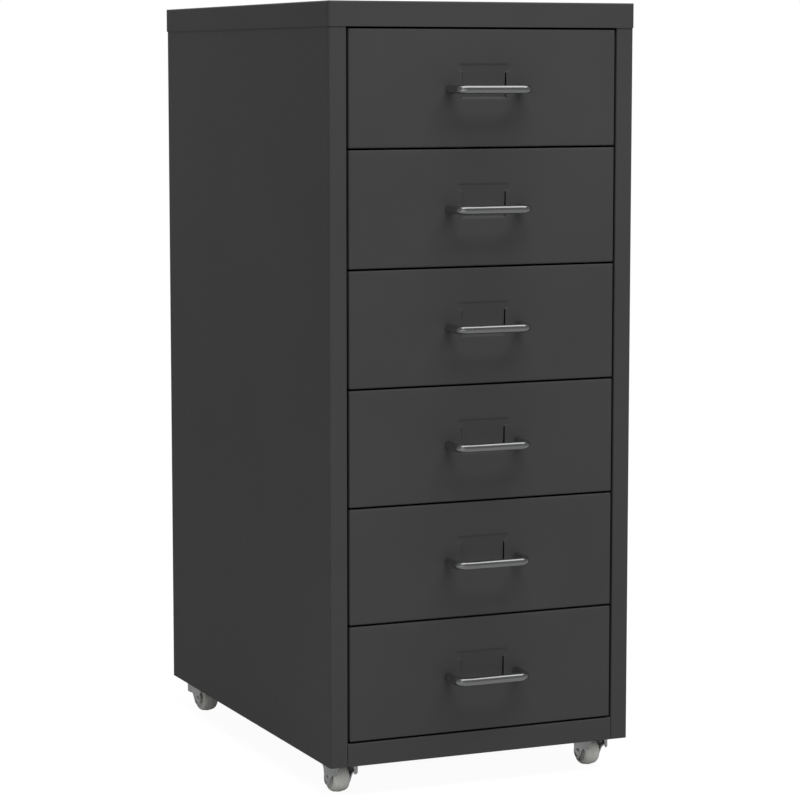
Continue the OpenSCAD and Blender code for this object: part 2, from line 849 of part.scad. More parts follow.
// The wheel: a broad tread with rounded shoulders, dished sides and a hub
module castor_wheel(k) {
    r = wheel_d/2;
    half = wheel_w/2;
    hub_half = fork_gap/2 - castor_play;
    hub_r = axle_d/2 + hub_wall;
    dish_r = r - wheel_r;
    color(wheel_grey) at_castor(k)
        translate([0, castor_trail, axle_z]) rotate([0, 90, 0]) rotate_extrude() difference() {
            union() {
                intersection() {
                    rounded_rect([-r, -half], [r, half], wheel_r);
                    translate([0, -half]) square([r, wheel_w]);
                }
                translate([0, -hub_half]) square([hub_r, 2*hub_half]);
            }
            translate([0, -hub_half - past])
                square([(axle_d + castor_fit)/2, 2*(hub_half + past)]);
            for (side = [-1, 1])
                translate([hub_r, side*half - dish_depth])
                    square([dish_r - hub_r, 2*dish_depth]);
        }
}

// The axle: a rivet through both legs and the wheel
module castor_axle(k) {
    color(zinc) at_castor(k) translate([0, castor_trail, axle_z]) rotate([0, 90, 0]) {
        cylinder(d = axle_d, h = 2*leg_x, center = true);
        for (side = [0, 1]) mirror([0, 0, side]) translate([0, 0, leg_x])
            cylinder(d1 = axle_head_d, d2 = axle_head_d - 2*axle_head_h, h = axle_head_h);
    }
}

// One hexagon nut on each stem, inside the cabinet
module castor_nuts() {
    color(zinc) in_frame()
        for (k = [0 : 3])
            translate([castor_x(k), castor_y(k), floor_z + sheet_t]) difference() {
                cylinder(d = nut_af/cos(30), h = nut_h, $fn = 6);
                translate([0, 0, -past])
                    cylinder(d = stem_d + castor_fit, h = nut_h + 2*past);
            }
}

// ---------------------------------------------------------------- the cabinet

left_side_panel();
right_side_panel();
back_panel();
top_cover();
bottom_panel();
front_bottom_rail();
castor_nuts();
carcass_screws();

for (i = DRAWERS) {
    runner_left(i);
    runner_right(i);
    drawer_box(i);
    drawer_front(i);
    drawer_handle(i);
    drawer_screws(i);
}

for (k = [0 : 3]) {
    castor_stem(k);
    castor_fork(k);
    castor_wheel(k);
    castor_axle(k);
}
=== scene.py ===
# %% [markdown]
# # A small metal drawer cabinet
# Six sheet-steel drawers in a folded steel body, bent-wire handles and four swivel castors.
# The folded body comes from CAD, because a folded sheet is all planes and small radii. The
# pieces with soft shapes (pressed fronts, wire handles, castors and screws) are worked out
# here as surfaces: each is a formula on a grid of two parameters, so it can be made as fine
# as its curves need. Everything is in metres, with +Z up and the drawers opening towards -Y.

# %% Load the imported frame
import json
import math
import bpy
import numpy as np
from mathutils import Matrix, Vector


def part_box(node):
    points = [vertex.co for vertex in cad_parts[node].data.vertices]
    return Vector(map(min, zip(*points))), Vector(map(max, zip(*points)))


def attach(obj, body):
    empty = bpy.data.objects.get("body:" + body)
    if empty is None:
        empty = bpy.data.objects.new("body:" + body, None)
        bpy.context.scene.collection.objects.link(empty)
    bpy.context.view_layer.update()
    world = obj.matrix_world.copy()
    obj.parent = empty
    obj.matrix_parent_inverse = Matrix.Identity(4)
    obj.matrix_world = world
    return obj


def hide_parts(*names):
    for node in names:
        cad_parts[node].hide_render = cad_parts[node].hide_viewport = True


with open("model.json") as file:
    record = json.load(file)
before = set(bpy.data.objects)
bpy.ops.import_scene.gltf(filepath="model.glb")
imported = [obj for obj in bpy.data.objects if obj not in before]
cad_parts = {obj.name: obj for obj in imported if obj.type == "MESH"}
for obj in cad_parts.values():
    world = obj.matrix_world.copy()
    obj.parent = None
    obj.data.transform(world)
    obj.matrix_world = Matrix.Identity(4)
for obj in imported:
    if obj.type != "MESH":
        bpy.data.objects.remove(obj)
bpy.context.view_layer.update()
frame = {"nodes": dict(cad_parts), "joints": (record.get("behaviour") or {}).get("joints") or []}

scene = bpy.context.scene
MM = 0.001
DRAWERS = range(1, 7)
CORNERS = ["front_left", "front_right", "back_left", "back_right"]

# %% [markdown]
# ## Camera
# The photograph is taken from a little above the cabinet and about 24 degrees to its left,
# with a long lens, so the sides hardly converge. Position, angles and focal length were
# found by fitting the cabinet's known edges to the picture.

# %% Camera
LENS_MM, SENSOR_MM = 126.49, 36
CAMERA_AT = (-1.0069, -2.3189, 0.6115)
# The way it looks, in degrees from straight along +Y
LOOKS_DOWN, LOOKS_RIGHT = 6.7256, 23.5935
FAR_CLIP = 50

camera = bpy.data.objects.new("camera", bpy.data.cameras.new("camera"))
scene.collection.objects.link(camera)
scene.camera = camera
camera.data.sensor_width = SENSOR_MM
camera.data.lens = LENS_MM
camera.location = CAMERA_AT
camera.rotation_euler = (math.radians(90 - LOOKS_DOWN), 0, math.radians(-LOOKS_RIGHT))
camera.data.clip_end = FAR_CLIP
print("camera", round(camera.location.length, 3), "m from the cabinet's foot")

# %% [markdown]
# ## Studio
# The photograph has a pure white ground, soft light from above the front, and dark things
# round the photographer that the chrome handles mirror. One wide lamp hangs over the front,
# the world fills the shadows, and the white of floor and world is given to the rays from the
# camera, from mirrors and through glass, so it costs the cabinet no extra light. Grey cards
# that only reflections see stand for the dark room. One of them, under the cabinet, is painted
# shade: a grey sheet that stands for the cabinet's shadow on the floor where the castors mirror it.
# The lamp itself isn't mirrored: the mirrors see the white world there, which doesn't burn out.

# %% Studio
FILL = 0.5
WHITE_SHARE = 0.88
FLOOR = dict(half=15, grey=0.82, roughness=0.9, glow=1.085)
LAMP = dict(watts=70, centre=(0.2, -1.3, 2.5), size=(2.2, 1.2), target=(0, -0.2, 0.4))
# Grey level, centre and two half-axes of each card
CARDS = {"behind_camera": (0.14, (0, -3.4, 2.75), (4, 0, 0), (0, 0, 2.75)),
         "right": (0.14, (2.4, -1.4, 1.3), (0, 2, 0), (0, 0, 1.3)),
         "on_floor": (0.24, (0.9, -1.8, 0.001), (2.2, 0, 0), (0, 1.6, 0)),
         "left": (0.13, (-1.3, 2.3, 1.5), (0, 3, 0), (0, 0, 1.5)),
         "front_left": (0.2, (-2.4, -2.1, 1.3), (0, 1.3, 0), (0, 0, 1.3)),
         "floor_left": (0.29, (-1.45, 2.7, 0.001), (1.3, 0, 0), (0, 2.9, 0)),
         # Painted shade: a grey sheet over the floor under the cabinet and out behind it, seen only
         # in reflections, standing for the cabinet's shadow there
         "under_cabinet": (0.3, (1.1, 0.8, 0.001), (1.25, 0, 0), (0, 1, 0))}


def white_rays(tree):
    """1 for a ray from the camera, off a mirror or through glass, and 0 for the rest."""
    path = tree.nodes.new("ShaderNodeLightPath")
    total = path.outputs["Is Camera Ray"]
    for name in ("Is Glossy Ray", "Is Transmission Ray"):
        either = tree.nodes.new("ShaderNodeMath")
        either.operation = "MAXIMUM"
        tree.links.new(total, either.inputs[0])
        tree.links.new(path.outputs[name], either.inputs[1])
        total = either.outputs["Value"]
    return total


def white_world():
    """Plain white for what shows it, and FILL for the light on the cabinet."""
    world = bpy.data.worlds.new("studio")
    world.use_nodes = True
    tree = world.node_tree
    fill = tree.nodes["Background"]
    fill.inputs["Color"].default_value = (1, 1, 1, 1)
    fill.inputs["Strength"].default_value = FILL
    white = tree.nodes.new("ShaderNodeBackground")
    white.inputs["Color"].default_value = (1, 1, 1, 1)
    mix = tree.nodes.new("ShaderNodeMixShader")
    tree.links.new(white_rays(tree), mix.inputs["Fac"])
    tree.links.new(fill.outputs["Background"], mix.inputs[1])
    tree.links.new(white.outputs["Background"], mix.inputs[2])
    tree.links.new(mix.outputs["Shader"], tree.nodes["World Output"].inputs["Surface"])
    return world


def rectangle(name, centre, across, up, material):
    """A flat card: centre plus and minus two half-axes."""
    centre, across, up = (np.array(v, float) for v in (centre, across, up))
    corners = [centre - across - up, centre + across - up, centre + across + up,
               centre - across + up]
    mesh = bpy.data.meshes.new(name)
    mesh.from_pydata(np.array(corners), [], [(0, 1, 2, 3)])
    mesh.materials.append(material)
    card = bpy.data.objects.new(name, mesh)
    scene.collection.objects.link(card)
    return card


def floor_finish():
    """Matt white: its own shading, so it keeps the shadow, under a veil of plain white."""
    material = bpy.data.materials.new("studio_floor")
    material.use_nodes = True
    tree = material.node_tree
    matt = tree.nodes["Principled BSDF"]
    matt.inputs["Base Color"].default_value = (*[FLOOR["grey"]]*3, 1)
    matt.inputs["Roughness"].default_value = FLOOR["roughness"]
    matt.inputs["Specular IOR Level"].default_value = 0
    glow = tree.nodes.new("ShaderNodeEmission")
    glow.inputs["Strength"].default_value = FLOOR["glow"]
    share = tree.nodes.new("ShaderNodeMath")
    share.operation = "MULTIPLY"
    share.inputs[1].default_value = WHITE_SHARE
    mix = tree.nodes.new("ShaderNodeMixShader")
    tree.links.new(white_rays(tree), share.inputs[0])
    tree.links.new(share.outputs["Value"], mix.inputs["Fac"])
    tree.links.new(matt.outputs["BSDF"], mix.inputs[1])
    tree.links.new(glow.outputs["Emission"], mix.inputs[2])
    tree.links.new(mix.outputs["Shader"], tree.nodes["Material Output"].inputs["Surface"])
    return material


def dark_card(name, level, centre, across, up):
    """A card of one grey that only mirrors see."""
    material = bpy.data.materials.new(name)
    material.use_nodes = True
    tree = material.node_tree
    glow = tree.nodes.new("ShaderNodeEmission")
    glow.inputs["Color"].default_value = (level, level, level, 1)
    tree.links.new(glow.outputs["Emission"], tree.nodes["Material Output"].inputs["Surface"])
    tree.nodes.remove(tree.nodes["Principled BSDF"])
    card = rectangle(name, centre, across, up, material)
    card.visible_camera = card.visible_diffuse = card.visible_shadow = False
    card.visible_transmission = card.visible_volume_scatter = False
    return card


def softbox(name, watts, centre, size, target):
    """A rectangular lamp at centre that faces a target point and isn't mirrored."""
    lamp = bpy.data.lights.new(name, "AREA")
    lamp.shape = "RECTANGLE"
    lamp.size, lamp.size_y = size
    lamp.energy = watts
    made = bpy.data.objects.new(name, lamp)
    made.location = centre
    away = made.location - Vector(target)
    made.rotation_euler = away.to_track_quat("Z", "Y").to_euler()
    made.visible_glossy = False
    scene.collection.objects.link(made)
    return made


scene.world = white_world()
scene.view_settings.view_transform = "Standard"
rectangle("floor", (0, 0, 0), (FLOOR["half"], 0, 0), (0, FLOOR["half"], 0), floor_finish())
for name, card in CARDS.items():
    dark_card(f"card_{name}", *card)
softbox("softbox_over_front", **LAMP)
print("studio with", len(CARDS), "cards and one lamp")

# %% [markdown]
# ## Building blocks
# Every new piece is one or more grids of points. A grid knows its faces from its row and
# column numbers alone, so no loop over vertices is needed. The grids of a piece are joined
# and their doubled points merged, which closes seams and poles.


# %% Grids of points
# Points nearer than this, in metres, are one point
MERGE = 1e-7


def grid_faces(rows, columns, wrap_rows=False, wrap_columns=False):
    """Four-sided faces of a grid: point (r, c) with its neighbours in the next row and
    column. A wrapped direction joins its last line of points to its first."""
    r, c = np.meshgrid(np.arange(rows if wrap_rows else rows - 1),
                       np.arange(columns if wrap_columns else columns - 1), indexing="ij")
    r1, c1 = (r + 1) % rows, (c + 1) % columns
    return np.stack([r*columns + c, r*columns + c1, r1*columns + c1, r1*columns + c],
                    axis=-1).reshape(-1, 4)


def grid(points, keep=None, flip=False, **wrap):
    """One grid as (points, faces). keep is a mask of the faces to keep."""
    faces = grid_faces(*points.shape[:2], **wrap)
    if keep is not None:
        faces = faces[keep.reshape(-1)]
    return points.reshape(-1, 3), faces[:, ::-1] if flip else faces


def edge_walls(outer, inner, around):
    """Joins two skins wherever a face of theirs has no neighbour. around is the mask of the
    faces with one more line on every side, which says whether the skin goes on there."""
    kept = around[1:-1, 1:-1]
    rows, columns = kept.shape
    corners = [(0, 0), (0, 1), (1, 1), (1, 0)]
    walls = []
    for k, (dr, dc) in enumerate([(-1, 0), (0, 1), (1, 0), (0, -1)]):
        beyond = around[1 + dr:1 + dr + rows, 1 + dc:1 + dc + columns]
        r, c = np.nonzero(kept & ~beyond)
        (r1, c1), (r2, c2) = corners[k], corners[(k + 1) % 4]
        a = (r + r1, (c + c1) % outer.shape[1])
        b = (r + r2, (c + c2) % outer.shape[1])
        walls.append(np.stack([outer[b], outer[a], inner[a], inner[b]], axis=1))
    walls = np.concatenate(walls)
    return walls.reshape(-1, 3), np.arange(len(walls)*4).reshape(-1, 4)


def piece(name, grids, material, sharp=35):
    """A mesh object from grids, with doubled points merged, and its edges shaded smooth up
    to the angle sharp, in degrees."""
    starts = np.cumsum([0] + [len(points) for points, faces in grids[:-1]])
    points = np.concatenate([points for points, faces in grids])
    faces = np.concatenate([faces + start for (_, faces), start in zip(grids, starts)])
    keys = np.round(points/MERGE).astype(np.int64)
    _, first, same = np.unique(keys, axis=0, return_index=True, return_inverse=True)
    used, faces = np.unique(same.reshape(-1)[faces], return_inverse=True)
    points, faces = points[first[used]], faces.reshape(-1, 4)
    # A face at a pole has two equal corners: it becomes a triangle
    rings = [[v for k, v in enumerate(face) if v != face[k - 1]] for face in faces.tolist()]
    mesh = bpy.data.meshes.new(name)
    mesh.from_pydata(points, [], [ring for ring in rings if len(ring) > 2])
    mesh.validate()
    mesh.shade_smooth()
    mesh.set_sharp_from_angle(angle=math.radians(sharp))
    mesh.materials.append(material)
    made = bpy.data.objects.new(name, mesh)
    scene.collection.objects.link(made)
    return made


def revolve(profile, turns):
    """A surface of revolution round Z: each (radius, height) of the profile is carried
    round at equal angles. Points run up the profile by row and round the axis by column."""
    angle = np.linspace(0, 2*math.pi, turns + 1)[:-1]
    radius, height = np.asarray(profile, float).T
    return np.stack([radius[:, None]*np.cos(angle), radius[:, None]*np.sin(angle),
                     np.broadcast_to(height[:, None], (len(radius), len(angle)))], axis=-1)


def arc(centre, radius, start, end, steps=8):
    """Points on a circular arc in a plane, angles in degrees."""
    angle = np.radians(np.linspace(start, end, steps + 1))
    return np.stack([centre[0] + radius*np.cos(angle), centre[1] + radius*np.sin(angle)], axis=-1)


def smooth(t):
    """Smooth step: 0 below 0, 1 above 1, and 3t^2 - 2t^3 between."""
    t = np.clip(t, 0, 1)
    return t*t*(3 - 2*t)


print("a 3 x 4 grid has", len(grid_faces(3, 4)), "faces")

# %% [markdown]
# ## Finishes
# The body and the drawers are powder coated: the paint is sprayed as a dry powder and baked,
# which leaves a satin skin with a very fine orange-peel texture. It is a dark grey dielectric
# with a broad, weak gloss. Two noises give the peel and the finer grain as bump, and the peel
# also varies the gloss a little. A slow one varies the colour by a few per cent, as the
# thickness of a real coat does.


# %% Powder coat
# Scales of the noises, per metre
PEEL, GRAIN, CLOUD = 620, 2400, 9


def principled(name, base, metallic, roughness):
    """A material with its Principled shader, and a coordinate source on the object."""
    material = bpy.data.materials.new(name)
    material.use_nodes = True
    tree = material.node_tree
    shader = tree.nodes["Principled BSDF"]
    shader.inputs["Base Color"].default_value = (*base, 1)
    shader.inputs["Metallic"].default_value = metallic
    shader.inputs["Roughness"].default_value = roughness
    where = tree.nodes.new("ShaderNodeTexCoord").outputs["Object"]
    return material, tree, shader, where


def noise(tree, where, scale, detail=2.0, stretch=(1, 1, 1)):
    """Fractal noise on the object's own coordinates, stretched per axis."""
    place = tree.nodes.new("ShaderNodeMapping")
    place.inputs["Scale"].default_value = stretch
    tree.links.new(where, place.inputs["Vector"])
    made = tree.nodes.new("ShaderNodeTexNoise")
    made.inputs["Scale"].default_value = scale
    made.inputs["Detail"].default_value = detail
    tree.links.new(place.outputs["Vector"], made.inputs["Vector"])
    return made.outputs["Fac"]


def vary(tree, source, low, high, target, span=(0.3, 0.7)):
    """Carries the middle span of a noise to the range low..high on a socket."""
    remap = tree.nodes.new("ShaderNodeMapRange")
    remap.inputs["From Min"].default_value, remap.inputs["From Max"].default_value = span
    remap.inputs["To Min"].default_value, remap.inputs["To Max"].default_value = low, high
    tree.links.new(source, remap.inputs["Value"])
    tree.links.new(remap.outputs["Result"], target)


def tint(tree, source, dark, light, target):
    """Mixes two close colours by a noise."""
    mix = tree.nodes.new("ShaderNodeMix")
    mix.data_type = "RGBA"
    mix.inputs[6].default_value = (*dark, 1)
    mix.inputs[7].default_value = (*light, 1)
    vary(tree, source, 0, 1, mix.inputs["Factor"])
    tree.links.new(mix.outputs[2], target)


def relief(tree, shader, layers):
    """Stacks bumps: each layer is (noise, depth in metres, strength)."""
    normal = None
    for source, depth, strength in layers:
        bump = tree.nodes.new("ShaderNodeBump")
        bump.inputs["Distance"].default_value = depth
        bump.inputs["Strength"].default_value = strength
        tree.links.new(source, bump.inputs["Height"])
        if normal:
            tree.links.new(normal, bump.inputs["Normal"])
        normal = bump.outputs["Normal"]
    tree.links.new(normal, shader.inputs["Normal"])


def powder_coat():
    """Satin anthracite powder coat: peel about 1.6 mm across, grain about 0.4 mm."""
    material, tree, shader, where = principled("powder_coat", (0.042, 0.042, 0.0435), 0, 0.5)
    shader.inputs["Specular IOR Level"].default_value = 0.25
    peel = noise(tree, where, PEEL, 2)
    grain = noise(tree, where, GRAIN, 1)
    cloud = noise(tree, where, CLOUD, 3)
    tint(tree, cloud, (0.0405, 0.0405, 0.042), (0.0435, 0.0435, 0.045), shader.inputs["Base Color"])
    vary(tree, peel, 0.45, 0.55, shader.inputs["Roughness"])
    relief(tree, shader, [(peel, 0.00003, 0.5), (grain, 0.00001, 0.5)])
    return material


paint = powder_coat()
print("powder coat made with", len(paint.node_tree.nodes), "nodes")

# %% [markdown]
# The handles are chrome plated and polished: a mirror that takes its look from what stands
# round it. Polishing leaves hair-fine marks along the wire, so the noise is stretched in X.
# The castors and screws are bright zinc plate, a paler and rougher metal whose crystals
# change its gloss from spot to spot. The wheels are moulded in a hard grey plastic.


# %% Chrome, zinc and plastic
# Scales of the noises, per metre, and the stretch of the polishing marks
POLISH, ALONG_X = 900, (0.04, 1, 1)
SPOTS, PICKLED = 500, 3000
MOULD_SKIN, DUST = 1800, 160


def chrome_plate():
    """Polished chrome, a little hazed by wear, with faint marks along X."""
    material, tree, shader, where = principled("chrome_plate", (0.58, 0.585, 0.59), 1, 0.16)
    marks = noise(tree, where, POLISH, 2, ALONG_X)
    vary(tree, marks, 0.12, 0.2, shader.inputs["Roughness"])
    tint(tree, marks, (0.55, 0.555, 0.56), (0.61, 0.615, 0.62), shader.inputs["Base Color"])
    relief(tree, shader, [(marks, 0.000004, 0.3)])
    return material


def zinc_plate():
    """Bright zinc: spots of 1 to 2 mm with their own gloss, and a fine pickled grain."""
    material, tree, shader, where = principled("zinc_plate", (0.66, 0.67, 0.665), 1, 0.3)
    spots = noise(tree, where, SPOTS, 2)
    grain = noise(tree, where, PICKLED, 1)
    vary(tree, spots, 0.24, 0.38, shader.inputs["Roughness"])
    tint(tree, spots, (0.62, 0.63, 0.625), (0.7, 0.71, 0.705), shader.inputs["Base Color"])
    relief(tree, shader, [(grain, 0.00001, 0.4)])
    return material


def wheel_plastic():
    """Hard grey plastic with a matt moulded skin, and faint dust on the tread."""
    material, tree, shader, where = principled("wheel_plastic", (0.56, 0.56, 0.53), 0, 0.5)
    skin = noise(tree, where, MOULD_SKIN, 2)
    dust = noise(tree, where, DUST, 3)
    vary(tree, dust, 0.42, 0.6, shader.inputs["Roughness"])
    tint(tree, dust, (0.53, 0.53, 0.5), (0.59, 0.59, 0.56), shader.inputs["Base Color"])
    relief(tree, shader, [(skin, 0.00001, 0.4)])
    return material


chrome, zinc, plastic = chrome_plate(), zinc_plate(), wheel_plastic()
print("finishes:", ", ".join(m.name for m in (paint, chrome, zinc, plastic)))

# %% [markdown]
# ## The folded body
# Side panels, back, bottom, rail, cover, runners and drawer boxes are folded sheet with
# small radii, so the CAD solids are kept and only get the powder coat.

# %% Coat the sheet-metal nodes
SHEET = ["left_side_panel", "right_side_panel", "back_panel", "top_cover", "bottom_panel",
         "front_bottom_rail"]
SHEET += [f"runner_{side}_{i}" for side in ("left", "right") for i in DRAWERS]
SHEET += [f"drawer_box_{i}" for i in DRAWERS]


def finish_node(name, material):
    """Gives a CAD node one finish."""
    slots = frame["nodes"][name].data.materials
    slots.clear()
    slots.append(material)


for name in SHEET:
    finish_node(name, paint)
print(len(SHEET), "folded pieces coated")

# %% [markdown]
# ## Drawer fronts
# A front is one sheet pressed into a shallow pan, with a pocket for a label card pressed in
# behind the handle. Card ends go into a narrow slit at either end of the pocket. The face is
# a depth y(x, z) on a grid whose lines crowd together at the pocket, and a rim carries the
# outline of the face round the pan's edge. An offset copy of both is the inside of the sheet.

# %% Shape of a drawer front
SHEET_T = 0.6*MM
EDGE_R = 1.2*MM
RETURN_D = 12*MM
POCKET = dict(half_w=19.6*MM, half_h=15.2*MM, depth=2*MM, slope=2.6*MM, rise=5.8*MM)
# The share of its depth that the pocket has lost at its top
SHALLOW_TOP = 0.7
SLIT = dict(width=0.7*MM, half_h=9*MM, drop=1.8*MM)
# How far the pocket runs out beyond the slits, above and below them, and the height over
# which it gets there
FLARE, EASE = 5.9*MM, 0.6*MM
FADE = 2*MM
# The widest step of the grid
COARSE = 4*MM

low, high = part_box("drawer_front_1")
FRONT_Y = low.y
FRONT_W, FRONT_H = high.x - low.x, high.z - low.z
POCKET_Z = FRONT_H/2 + POCKET["rise"]
SLIT_Z = POCKET_Z - SLIT["drop"]
print("front", round(FRONT_W/MM, 2), "x", round(FRONT_H/MM, 2), "mm")


def crowded(ends, spots):
    """Line positions from ends[0] to ends[1]: each spot (middle, half width, step) lays
    its own even lines, and the gaps between spots are filled at about COARSE."""
    fixed = [ends[0], ends[1]]
    for middle, half, step in spots:
        fixed += list(np.linspace(middle - half, middle + half, max(2, round(2*half/step) + 1)))
    fixed = np.unique(np.round(fixed, 9))
    lines = [np.linspace(a, b, max(1, round((b - a)/COARSE)) + 1)[:-1]
             for a, b in zip(fixed[:-1], fixed[1:])]
    return np.append(np.concatenate(lines), fixed[-1])


def pocket_depth(x, z):
    """How far the face is pressed in. Down the pocket the depth ramps in and out over its
    sloping walls, and its floor leans, so it is shallow at the top. Across it the depth ends
    in a ramp that is narrow beside the slits and flares above them, where the press
    stretches the sheet."""
    p = POCKET
    floor = p["depth"]*(1 - SHALLOW_TOP*(z - POCKET_Z + p["half_h"])/(2*p["half_h"]))
    inside = p["half_h"] - np.abs(z - POCKET_Z)
    down = smooth(inside/p["slope"])
    above = smooth((z - SLIT_Z - SLIT["half_h"])/FADE)
    below = smooth((SLIT_Z - SLIT["half_h"] - z)/FADE)
    end = p["half_w"] + SLIT["width"] + FLARE*above + EASE*below
    across = smooth((end - np.abs(x))/(end - p["half_w"]))
    return floor*down*across


def rim_outline(inset, lines_x, lines_z):
    """The pan's outline, drawn in by inset: it follows the face's grid lines along each
    side and turns each corner on an arc that shrinks to a point at an inset of EDGE_R."""
    x0, z0 = FRONT_W/2 - EDGE_R, EDGE_R
    turn = EDGE_R - inset
    corners = [(x0, z0, -90), (x0, FRONT_H - z0, 0), (-x0, FRONT_H - z0, 90), (-x0, z0, 180)]
    ring = []
    for k, (cx, cz, start) in enumerate(corners):
        ring.append(arc((cx, cz), turn, start, start + 90, 6)[:-1])
        along = [lines_z, lines_x[::-1], lines_z[::-1], lines_x][k][:-1]
        out = [(cx + turn, None), (None, cz + turn), (cx - turn, None), (None, cz - turn)][k]
        side = np.empty((len(along), 2))
        side[:, 0] = along if out[0] is None else out[0]
        side[:, 1] = along if out[1] is None else out[1]
        ring.append(side)
    return np.concatenate(ring)


def front_surfaces():
    """All the grids of one drawer front, with its lower edge at z = 0 and face at y = 0."""
    p = POCKET
    slit_x = p["half_w"] + SLIT["width"]/2
    x = crowded((EDGE_R - FRONT_W/2, FRONT_W/2 - EDGE_R),
                [(s*slit_x, SLIT["width"]/2, 0.3*MM) for s in (-1, 1)]
                + [(s*(p["half_w"] + SLIT["width"] + FLARE/2), FLARE/2, 0.4*MM) for s in (-1, 1)])
    z = crowded((EDGE_R, FRONT_H - EDGE_R),
                [(POCKET_Z + s*(p["half_h"] - p["slope"]/2), p["slope"]/2, 0.2*MM) for s in (-1, 1)]
                + [(SLIT_Z + s*SLIT["half_h"], FADE, 0.5*MM) for s in (-1, 1)])
    zz, xx = np.meshgrid(z, x, indexing="ij")
    depth = pocket_depth(xx, zz)
    dz, dx = np.gradient(depth, z, x)
    back = depth + SHEET_T*np.sqrt(1 + dx**2 + dz**2)
    outside = np.stack([xx, depth, zz], axis=-1)
    inside = np.stack([xx, back, zz], axis=-1)
    # The slits: cells whose middle lies in a slit are left out, in both skins
    mx, mz = (x[:-1] + x[1:])/2, (z[:-1] + z[1:])/2
    keep = ~((np.abs(mz - SLIT_Z)[:, None] < SLIT["half_h"])
             & (np.abs(np.abs(mx) - slit_x)[None, :] < SLIT["width"]/2))
    # The rim joins on all round, so only the slits' edges need walls
    around = np.pad(keep, 1, constant_values=True)
    grids = [grid(outside, keep), grid(inside, keep, flip=True),
             edge_walls(outside, inside, around)]
    # The rim: outside round the edge and back along the return, then the same inside
    bend = np.radians(np.linspace(0, 90, 7))
    outer = [(EDGE_R*(1 - np.sin(b)), EDGE_R*(1 - np.cos(b))) for b in bend]
    inner_r = EDGE_R - SHEET_T
    inner = [(EDGE_R - inner_r*np.sin(b), EDGE_R - inner_r*np.cos(b)) for b in bend]
    profile = outer + [(0, RETURN_D), (SHEET_T, RETURN_D)] + inner[::-1]
    rings = [np.insert(rim_outline(inset, x, z), 1, y, axis=1) for inset, y in profile]
    grids.append(grid(np.stack(rings), wrap_columns=True, flip=True))
    return grids


def place(grids, x=0.0, y=0.0, z=0.0):
    """Moves every grid of a piece."""
    return [(points + np.array([x, y, z]), faces) for points, faces in grids]


front = front_surfaces()
for i in DRAWERS:
    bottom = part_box(f"drawer_front_{i}")[0]
    made = piece(f"pressed_front_{i}", place(front, y=FRONT_Y, z=bottom.z), paint)
    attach(made, f"drawer_{i}")
    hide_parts(f"drawer_front_{i}")
print("each front has", len(made.data.polygons), "faces")

# %% [markdown]
# ## Handles
# Each handle is one 7.2 mm wire with two right-angled bends, cut square at both ends and
# screwed on from inside. A circle is carried along the path: straight, quarter circle,
# straight, quarter circle, straight. At every point the ring lies across the path.

# %% Sweep a wire
WIRE_R, PITCH, BEND_R = 3.6*MM, 64*MM, 9*MM


def tube(path, radius, around=32):
    """A round tube. path is points in a plane of constant z; the ring at each point is
    spanned by the path's sideways direction and +Z, and both ends are closed by a fan."""
    ahead = np.gradient(path, axis=0)
    ahead /= np.linalg.norm(ahead, axis=1, keepdims=True)
    side = np.stack([ahead[:, 1], -ahead[:, 0], np.zeros(len(path))], axis=-1)
    angle = np.linspace(0, 2*np.pi, around, endpoint=False)
    rings = path[:, None] + radius*(np.cos(angle)[None, :, None]*side[:, None]
                                    + np.sin(angle)[None, :, None]*np.array([0, 0, 1.0]))
    ends = [np.broadcast_to(path[k], (around, 3)) for k in (0, -1)]
    rings = np.concatenate([ends[0][None], rings, ends[1][None]])
    return grid(rings, wrap_columns=True, flip=True)


def handle_path(y_face, y_bar, z):
    """From the face out to the bar and back, with 24 steps in each bend."""
    half = PITCH/2
    out = y_bar + BEND_R
    left = arc((-half + BEND_R, out), BEND_R, 180, 270, 24)
    flat = np.concatenate([[(-half, y_face)], [(-half, (y_face + out)/2)], left, left[::-1]*(-1, 1),
                           [(half, (y_face + out)/2)], [(half, y_face)]])
    return np.column_stack([flat, np.full(len(flat), z)])


for i in DRAWERS:
    low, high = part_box(f"drawer_handle_{i}")
    path = handle_path(high.y, low.y + WIRE_R, (low.z + high.z)/2)
    made = piece(f"wire_handle_{i}", [tube(path, WIRE_R)], chrome, sharp=60)
    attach(made, f"drawer_{i}")
    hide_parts(f"drawer_handle_{i}")
print("handles reach", round((high.y - low.y)/MM, 1), "mm")

# %% [markdown]
# ## Castors
# A castor is a fork pressed from sheet, a wheel, the axle riveted through both, and the stem
# that the fork swivels on. Each is modelled over the origin with its axle along X and the
# wheel trailing towards +Y, and is then turned and moved to where the cabinet's joints say:
# the swivel joint gives the place, and the axis of the roll joint gives the turn.


# %% Place of each castor
JOINTS = {joint["name"]: joint for joint in frame["joints"]}
TRAIL, AXLE_Z, SEAT_Z = 6*MM, 12*MM, 34*MM


def castor_angle(corner):
    """Direction of a castor's axle in the plan, as (cosine, sine)."""
    return JOINTS[f"castor_{corner}_roll"]["axis"][:2]


def at_castor(grids, corner):
    """Turns a castor's grids to its axle's direction and moves them to its corner."""
    cos, sin = castor_angle(corner)
    turn = np.array([[cos, sin, 0], [-sin, cos, 0], [0, 0, 1]])
    to = np.array([*JOINTS[f"castor_{corner}_swivel"]["pos_m"][:2], 0])
    return [(points @ turn + to, faces) for points, faces in grids]


def on_axle(points):
    """Lays a surface of revolution down along X, on the axle's line."""
    return points[..., [2, 0, 1]] + np.array([0, TRAIL, AXLE_Z])


def castor_piece(kind, node, grids, material, body):
    """The same piece at all four corners. body is the moving body's name before its corner."""
    for corner in CORNERS:
        made = piece(f"{kind}_{corner}", at_castor(grids, corner), material)
        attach(made, f"{body}_{corner}" if body else "cabinet")
        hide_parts(f"{node}_{corner}")
    print(kind, "has", len(made.data.polygons), "faces")


